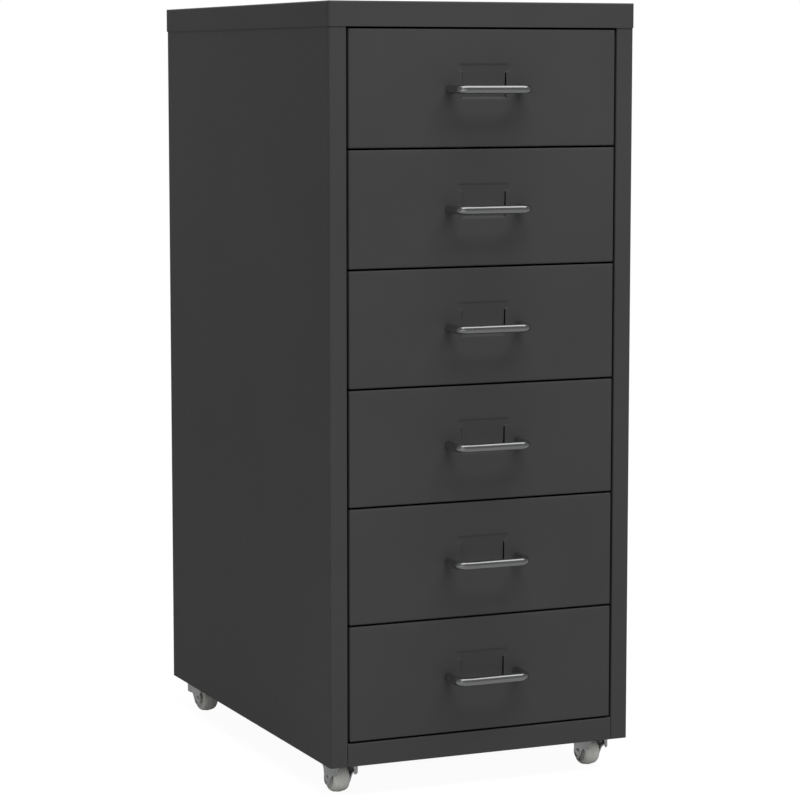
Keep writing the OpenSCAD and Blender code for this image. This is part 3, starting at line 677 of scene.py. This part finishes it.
for corner in CORNERS:
    cos, sin = castor_angle(corner)
    print(corner, "castor is turned", round(math.degrees(math.atan2(sin, cos)), 1), "degrees")

# %% [markdown]
# The wheel is a ring in section: along the bore, out over the hub, down into the dish, up
# its wall, round the broad shoulder and over the slightly crowned tread.

# %% Wheel
WHEEL = dict(bore=2.1*MM, hub=3.6*MM, hub_half=8.3*MM, dish=1.5*MM, wall=8.2*MM,
             half=7.6*MM, radius=12*MM, shoulder=5*MM, crown=0.4*MM)


def wheel_profile():
    """Half of the section as (radius, distance from the middle), and its mirror image."""
    w = WHEEL
    cut, fillet, edge = 0.2*MM, 0.6*MM, 0.3*MM
    floor, inner = w["half"] - w["dish"], w["half"] - w["shoulder"]
    swing = np.radians(np.linspace(90, 0, 13))
    start = w["wall"] + edge
    shoulder = np.column_stack([start + (w["radius"] - w["crown"] - start)*np.cos(swing),
                                inner + w["shoulder"]*np.sin(swing)])
    across = np.linspace(inner, 0, 6)[1:-1]
    tread = np.column_stack([w["radius"] - w["crown"]*(across/inner)**2, across])
    half = np.concatenate([
        [(w["bore"], w["hub_half"] - cut), (w["bore"] + cut, w["hub_half"]),
         (w["hub"] - cut, w["hub_half"]), (w["hub"], w["hub_half"] - cut)],
        arc((w["hub"] + fillet, floor + fillet), fillet, 180, 270, 5),
        arc((w["wall"] - fillet, floor + fillet), fillet, 270, 360, 5),
        arc((start, w["half"] - edge), edge, 180, 90, 4)[:-1],
        shoulder, tread])
    return np.concatenate([half, [(w["radius"], 0)], half[::-1]*(1, -1)])


wheel = grid(on_axle(revolve(wheel_profile(), 96)), wrap_rows=True, wrap_columns=True, flip=True)
castor_piece("moulded_wheel", "castor_wheel", [wheel], plastic, "wheel")

# %% [markdown]
# The axle is a rivet with a low round head at both ends. The stem is a bolt with a wide
# collar, riveted over inside the fork. Its thread is a cylinder whose radius swings in and
# out once for every turn of the helix: the phase of a point is its height in pitches less
# its angle in turns.

# %% Axle and stem
AXLE = dict(radius=2*MM, leg=9.6*MM, head=3*MM, head_h=0.8*MM)
STEM = dict(foot=27*MM, rivet=5.6*MM, rivet_top=28.6*MM, radius=4*MM, collar=11*MM,
            collar_foot=30*MM, edge=0.5*MM, top=43.2*MM, pitch=1.25*MM, thread=0.5*MM)


def axle_profile():
    """Shank, and heads that are half ellipses in section."""
    a = AXLE
    swing = np.radians(np.linspace(0, 90, 9))
    head = np.column_stack([a["head"]*np.cos(swing), a["leg"] + a["head_h"]*np.sin(swing)])
    half = np.concatenate([[(a["radius"], a["leg"])], head])
    return np.concatenate([half[::-1]*(1, -1), half])


def threaded(points, foot, top, pitch, depth):
    """Presses a right-handed thread into a surface of revolution between two heights."""
    height = points[..., 2]
    turns = np.arctan2(points[..., 1], points[..., 0])/(2*np.pi)
    wave = np.abs(2*((height/pitch - turns) % 1) - 1)
    fade = smooth((height - foot)/pitch)*smooth((top - height)/(0.3*pitch))
    radius = np.hypot(points[..., 0], points[..., 1])
    shrink = 1 - depth*wave*fade/np.maximum(radius, depth)
    return points*np.stack([shrink, shrink, np.ones_like(shrink)], axis=-1)


def stem_profile():
    """Riveted foot, shank, collar with eased edges, threaded shank and chamfered top."""
    s = STEM
    edge, ease = s["edge"], 0.6*MM
    rise = np.arange(SEAT_Z, s["top"] - s["thread"], s["pitch"]/8)
    return np.concatenate([
        [(0, s["foot"])], arc((s["rivet"] - ease, s["foot"] + ease), ease, -90, 0, 4),
        [(s["rivet"], s["rivet_top"]), (s["radius"], s["rivet_top"]),
         (s["radius"], s["collar_foot"])],
        arc((s["collar"] - edge, s["collar_foot"] + edge), edge, -90, 0, 4),
        arc((s["collar"] - edge, SEAT_Z - edge), edge, 0, 90, 4),
        np.column_stack([np.full(len(rise), s["radius"]), rise]),
        [(s["radius"], s["top"] - s["thread"]), (s["radius"] - s["thread"], s["top"]),
         (0, s["top"])]])


axle = grid(on_axle(revolve(axle_profile(), 32)), wrap_columns=True)
stem = grid(threaded(revolve(stem_profile(), 48), SEAT_Z, STEM["top"] - STEM["thread"],
                     STEM["pitch"], STEM["thread"]), wrap_columns=True)
castor_piece("riveted_axle", "castor_axle", [axle], zinc, "fork")
castor_piece("swivel_stem", "castor_stem", [stem], zinc, None)

# %% [markdown]
# The fork starts as a flat blank and is pressed into a bell, with two legs that run on from
# its skirt. Half of it is one grid. The rows follow the press line: out over the crown,
# round the bell's edge, down the skirt and in under the shoulder to the leg. The columns
# fan out round the swivel axis, from the edge of the arch at the back to the one in front.

# %% Press line of the fork
# Heights: crown, apex and spring of the arch, slope_top, skirt, foot of the shoulder.
# Distances from the middle plane: arch, leg. The front edge starts at y = front.
FORK = dict(sheet=1.2*MM, hole=4.1*MM, bell=15*MM, edge=3*MM, crown=29.9*MM, skirt=17.9*MM,
            lip=1.4*MM, leg=10.2*MM, foot=15.3*MM, arch=8.4*MM, spring=20.9*MM, apex=28.4*MM,
            slope_top=25.5*MM, boss=5.4*MM, gap=0.3*MM, front=-4*MM, hollow=1.4*MM,
            dish=4.5*MM, dish_wall=0.9*MM, dish_depth=0.6*MM, axle_hole=2.05*MM,
            last_row=0.4*MM, turn_in=2.5*MM, slope_from=0.5*MM, slope_run=5*MM)
LEG_COLUMNS, FREE_COLUMNS = 25, 11
BELL_CORNER = math.sqrt(FORK["bell"]**2 - FORK["arch"]**2)


def press_line():
    """The skin's section beside the front edge of a leg, as (distance from the swivel axis,
    height), and the number of the first row of each part."""
    f = FORK
    flat, bend_z = f["bell"] - f["edge"], f["crown"] - f["edge"]
    apex = math.degrees(math.asin((f["apex"] - bend_z)/f["edge"]))
    crown = np.column_stack([np.linspace(f["hole"], flat, 5)[:-1], np.full(4, f["crown"])])
    over = arc((flat, bend_z), f["edge"], 90, apex, 6)[:-1]
    # The rows beside the arch crowd together towards its top, as the arch itself does
    height = f["spring"] + (f["apex"] - f["spring"])*np.sin(np.radians(np.linspace(90, 0, 19)))
    beside = np.column_stack([flat + np.sqrt(f["edge"]**2 - np.clip(height - bend_z, 0, None)**2),
                              height])
    lip = arc((f["bell"] - f["lip"], f["skirt"] + f["lip"]), f["lip"], 0, -90, 5)
    swing = np.radians(np.linspace(0, 90, 9))[1:]
    under = np.column_stack([f["leg"] + (f["bell"] - f["lip"] - f["leg"])*(1 - np.sin(swing)),
                             f["foot"] + (f["skirt"] - f["foot"])*np.cos(swing)])
    leg = [(f["leg"], f["foot"] - f["last_row"])]
    parts = dict(crown=crown, over=over, beside=beside, lip=lip, under=under, leg=leg)
    first = dict(zip(parts, np.cumsum([0] + [len(part) for part in parts.values()])))
    return np.concatenate(list(parts.values())), first


LINE, FIRST = press_line()
length = np.linalg.norm(np.diff(LINE, axis=0), axis=1).sum()
print("the press line has", len(LINE), "rows over", round(length/MM, 1), "mm")

# %% [markdown]
# A leg in side view is a wide triangle: two straight edges that touch a round end about the
# axle. Its front edge hollows out into the skirt. Round the axle the sheet is pressed in to
# a shallow dish, in which the axle's head sits.


# %% Outline of a leg
AXLE_AT = np.array([TRAIL, AXLE_Z])
LEG_TOPS = np.array([[FORK["front"], FORK["skirt"]],
                     [math.sqrt(FORK["bell"]**2 - FORK["leg"]**2) - FORK["gap"], FORK["skirt"]]])


def touches():
    """Where the front and the back edge touch the circle round the axle, as two points
    (y, z) and two angles."""
    out = LEG_TOPS - AXLE_AT
    opening = np.arccos(FORK["boss"]/np.linalg.norm(out, axis=1))
    angle = np.arctan2(out[:, 1], out[:, 0]) + (1, -1)*opening
    return AXLE_AT + FORK["boss"]*np.column_stack([np.cos(angle), np.sin(angle)]), angle


def leg_edges(z):
    """Y of the front and the back edge at each height."""
    f = FORK
    at, _ = touches()
    slant = np.divide(*(LEG_TOPS - at).T)
    front, back = (y + (z - height)*lean for (y, height), lean in zip(at, slant))
    up = np.clip((z - f["skirt"])/f["hollow"] + 1, 0, 1)
    # Above the shoulder the back edge leans out to meet the corner of the bell's arch
    out = BELL_CORNER - (at[1, 0] + (f["spring"] - at[1, 1])*slant[1])
    rise = smooth((z - f["foot"])/(f["spring"] - f["foot"]))
    return front - f["hollow"]*(1 - np.sqrt(1 - up**2)), back + out*rise


def dish(y, z):
    """How far the sheet is pressed in round the axle."""
    inside = FORK["dish"] - np.hypot(y - TRAIL, z - AXLE_Z)
    return FORK["dish_depth"]*smooth(inside/FORK["dish_wall"])


def leg_end(row, plane):
    """The leg below the grid's last row, as rings of points from its outline in to the hole
    for the axle. row is the grid's last row, from back to front, and plane the leg's x."""
    top = row[0, 2]
    (front_at, back_at), (front_angle, back_angle) = touches()
    front_z = np.linspace(top, front_at[1], 7)[1:-1]
    back_z = np.linspace(back_at[1], top, 6)[1:-1]
    loop = np.concatenate([
        row[:, 1:],
        np.column_stack([leg_edges(front_z)[0], front_z]),
        arc(AXLE_AT, FORK["boss"], math.degrees(front_angle), 360 + math.degrees(back_angle), 28),
        np.column_stack([leg_edges(back_z)[1], back_z])])
    ray = loop - AXLE_AT
    hole = FORK["axle_hole"]*ray/np.linalg.norm(ray, axis=1, keepdims=True)
    rings = np.stack([hole*t + ray*(1 - t) + AXLE_AT for t in np.linspace(0, 1, 11)])
    return np.concatenate([plane - dish(*np.moveaxis(rings, -1, 0))[..., None], rings], axis=-1)


print("a leg's edges touch its end at", np.round(touches()[0]/MM, 2).tolist(), "mm")

# %% [markdown]
# Each point of the grid needs two things: its place along the skirt, and how much is left
# there of the step from the leg's plane out to the round bell. In front the step is a
# shoulder, and beside the legs the skirt has a free lower edge. At the back the bell slopes
# down into the leg. The inner skin is the same formula on a press line that is drawn in by
# the thickness of the sheet.


# %% Skin of the fork
def step_profile(skirt_y, start):
    """(X, Z) of every grid point on its own column's press line."""
    f = FORK
    X, Z = (np.broadcast_to(v[:, None], (len(LINE), len(skirt_y))) for v in LINE.T)
    held = smooth((skirt_y - start)/f["turn_in"] + 1)
    low = np.arange(len(LINE))[:, None] >= FIRST["lip"]
    X = np.where(low, f["bell"] - (f["bell"] - X)*held, X)
    sloped = f["leg"] + (f["bell"] - f["leg"])*smooth((Z - f["foot"])/(f["slope_top"] - f["foot"]))
    slope = smooth((skirt_y - f["slope_from"])/f["slope_run"])*(Z < f["slope_top"])
    return X + (sloped - X)*slope, Z


def half_skin(depth):
    """Points of the right half of the fork at a depth below its outer skin, and the mask of
    the faces that exist."""
    f = FORK
    start = float(leg_edges(np.array(f["skirt"]))[0])
    skirt_y = np.concatenate([np.linspace(BELL_CORNER, start, LEG_COLUMNS),
                              np.linspace(start, -BELL_CORNER, FREE_COLUMNS)[1:]])
    X, Z = step_profile(skirt_y, start)
    # Drawn in along the normal of the press line
    dX, dZ = np.gradient(X, axis=0), np.gradient(Z, axis=0)
    drawn = depth/np.hypot(dX, dZ)
    X_in, Z_in = X + drawn*dZ, Z - drawn*dX
    # Beside the arch the columns fan out, to meet the other half above its apex
    rise = np.clip((Z - f["spring"])/(f["apex"] - f["spring"]), 0, 1)
    round_top = Z > f["crown"] - f["edge"]
    fan = (np.arcsin(skirt_y/f["bell"])/math.acos(f["arch"]/f["bell"])
           * np.arccos(f["arch"]*np.sqrt(1 - rise**2)/np.where(round_top, X, f["bell"])))
    # Below it they run between the edges of the leg, and the free skirt goes straight down
    front, back = leg_edges(np.minimum(Z, f["spring"]))
    front = np.where(Z > f["skirt"], start, front)
    y = front + (back - front)*(skirt_y - start)/(BELL_CORNER - start)
    y = np.where(Z > f["spring"], f["bell"]*np.sin(fan), np.where(skirt_y < start, skirt_y, y))
    # Across, a point lies between the leg's plane and the bell
    plane, reach = f["leg"] - depth, f["bell"] - f["leg"]
    y = y*(1 - depth/f["bell"]*(X - f["leg"])/reach)
    x = plane + (X_in - plane)*(np.sqrt((f["bell"] - depth)**2 - y**2) - plane)/reach
    x = x - dish(y, Z_in)
    points = np.stack([np.where(round_top, X_in*np.cos(fan), x),
                       np.where(round_top, X_in*np.sin(fan), y), Z_in], axis=-1)
    rows = np.arange(1, len(LINE))[:, None]
    return points, (rows < FIRST["under"]) | (skirt_y[1:] > start - 1e-9)


def fork_surfaces():
    """Both skins of one half, the walls that join them at every cut edge, and the mirror
    image of all that."""
    (outer, keep), (inner, _) = half_skin(0), half_skin(FORK["sheet"])
    around = np.pad(keep, 1)
    around[1:FIRST["beside"] + 1, [0, -1]] = True
    around[-1] = True
    ends = [leg_end(skin[-1, :LEG_COLUMNS], plane) for skin, plane in
            ((outer, FORK["leg"]), (inner, FORK["leg"] - FORK["sheet"]))]
    cut = np.ones((ends[0].shape[0] + 1, ends[0].shape[1] + 2), bool)
    cut[0, LEG_COLUMNS:-1] = cut[-1] = False
    half = [grid(outer, keep), grid(inner, keep, flip=True), edge_walls(outer, inner, around),
            grid(ends[0], wrap_columns=True), grid(ends[1], wrap_columns=True, flip=True),
            edge_walls(*ends, cut)]
    return half + [(points*(-1, 1, 1), faces[:, ::-1]) for points, faces in half]


castor_piece("pressed_fork", "castor_fork", fork_surfaces(), zinc, "fork")

# %% [markdown]
# ## Nuts and screws
# A nut's side is the nearer of two surfaces at every angle and height: the hexagon, and the
# cone that its corners are turned off to.

# %% Castor nuts
NUT = dict(flat=6.5*MM, foot=35.2*MM, top=41.7*MM, bore=4.1*MM, seat=6.4*MM, sunk=0.3*MM)
NUT_COLUMNS = 72


def nut_surface():
    """Bore, chamfered corners and flats, as rings between the two faces."""
    n = NUT
    angle = np.linspace(0, 2*np.pi, NUT_COLUMNS, endpoint=False)
    hexagon = n["flat"]/np.cos(angle % (np.pi/3) - np.pi/6)
    up = np.array([0, 0.16, 0.32, 0.48, 0.66])*MM
    side = [(z, np.minimum(hexagon, n["seat"] + rise*math.sqrt(3)))
            for z, rise in list(zip(n["foot"] + up, up)) + list(zip(n["top"] - up[::-1], up[::-1]))]
    even = np.ones_like(angle)
    mouth = (n["bore"] + n["sunk"])*even
    rings = [(n["foot"] + n["sunk"], n["bore"]*even), (n["foot"], mouth), *side,
             (n["top"], mouth), (n["top"] - n["sunk"], n["bore"]*even)]
    points = np.stack([np.column_stack([r*np.cos(angle), r*np.sin(angle), z*even])
                       for z, r in rings])
    return grid(points, wrap_rows=True, wrap_columns=True)


nut = nut_surface()
nuts = []
for corner in CORNERS:
    nuts += place([nut], *JOINTS[f"castor_{corner}_swivel"]["pos_m"][:2])
made = piece("hexagon_nuts", nuts, zinc)
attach(made, "cabinet")
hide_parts("castor_nuts")
print("four nuts have", len(made.data.polygons), "faces")

# %% [markdown]
# A screw head is a dome over a square grid that is squeezed into a disc, which keeps the
# lines near the middle straight: (u, v) goes to (u sqrt(1 - v^2/2), v sqrt(1 - u^2/2)). The
# lines crowd at the edges of the cross, so its walls stand steep. The disc's rim carries on
# as rings down the head's side and along the threaded shank.

# %% Pan-head screws
SCREW = dict(head=3.75*MM, head_h=1.8*MM, side=0.75*MM, ease=0.12*MM, cross_w=0.4*MM,
             cross_l=2.1*MM, cross_foot=0.7*MM, wall=0.1*MM, radius=2*MM, pitch=0.7*MM,
             thread=0.3*MM)
CARCASS_SHANK, DRAWER_SHANK = 8*MM, 10*MM
# Points nearer to each other than this, seen from the front, are of one screw
ONE_SCREW = 10*MM


def screw_surfaces(shank):
    """A screw along +Y with its head's seat at y = 0 and its shank towards -Y."""
    s = SCREW
    half = np.array([0, s["cross_w"], s["cross_w"] + s["wall"], 1.2*MM, s["cross_l"],
                     s["cross_l"] + s["wall"], 3*MM, s["head"]])/s["head"]
    v, u = np.meshgrid(*[np.concatenate([-half[:0:-1], half])]*2, indexing="ij")
    x, y = s["head"]*u*np.sqrt(1 - v**2/2), s["head"]*v*np.sqrt(1 - u**2/2)
    dome = np.sqrt(np.clip(1 - (x**2 + y**2)/s["head"]**2, 0, 1))
    arm, end = (value/s["head"] + 1e-9 for value in (s["cross_w"], s["cross_l"]))
    cross = (np.minimum(np.abs(u), np.abs(v)) < arm) & (np.maximum(np.abs(u), np.abs(v)) < end)
    z = np.where(cross, s["cross_foot"], s["side"] + (s["head_h"] - s["side"])*dome)
    top = np.stack([x, y, z], axis=-1)
    rim = np.concatenate([top[0, :-1], top[:-1, -1], top[-1, :0:-1], top[:0:-1, 0]])
    fall = np.arange(0, shank - s["thread"], s["pitch"]/6)
    rings = ([(s["head"], s["side"]), (s["head"], s["ease"]), (s["head"] - s["ease"], 0)]
             + [(s["radius"], -depth) for depth in fall]
             + [(s["radius"], s["thread"] - shank), (s["radius"] - s["thread"], -shank),
                (0, -shank)])
    around = np.hypot(rim[:, 0], rim[:, 1])[:, None]
    body = np.stack([np.column_stack([rim[:, :2]*r/around, np.full(len(rim), h)])
                     for r, h in rings])
    body = threaded(body, s["thread"] - shank, 0, s["pitch"], s["thread"])
    return [(points[:, [0, 2, 1]]*(1, 1, -1), faces)
            for points, faces in (grid(top), grid(body, wrap_columns=True, flip=True))]


def screw_places(node, shank):
    """Where the seats of a node's screws are: the middle of each group of its points."""
    mesh = frame["nodes"][node].data
    points = np.empty(len(mesh.vertices)*3)
    mesh.vertices.foreach_get("co", points)
    points = points.reshape(-1, 3)
    places = []
    while len(points):
        near = np.hypot(*(points[:, [0, 2]] - points[0, [0, 2]]).T) < ONE_SCREW
        low, high = points[near].min(axis=0), points[near].max(axis=0)
        places.append(((low[0] + high[0])/2, low[1] + shank, (low[2] + high[2])/2))
        points = points[~near]
    return places


screwed = [("carcass_screws", "cabinet", CARCASS_SHANK)]
screwed += [(f"drawer_screws_{i}", f"drawer_{i}", DRAWER_SHANK) for i in DRAWERS]
for node, body, shank in screwed:
    screw = screw_surfaces(shank)
    places = screw_places(node, shank)
    made = piece(f"pan_head_{node}", [moved for at in places for moved in place(screw, *at)], zinc)
    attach(made, body)
    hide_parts(node)
    print(node, "has", len(places), "screws and", len(made.data.polygons), "faces")
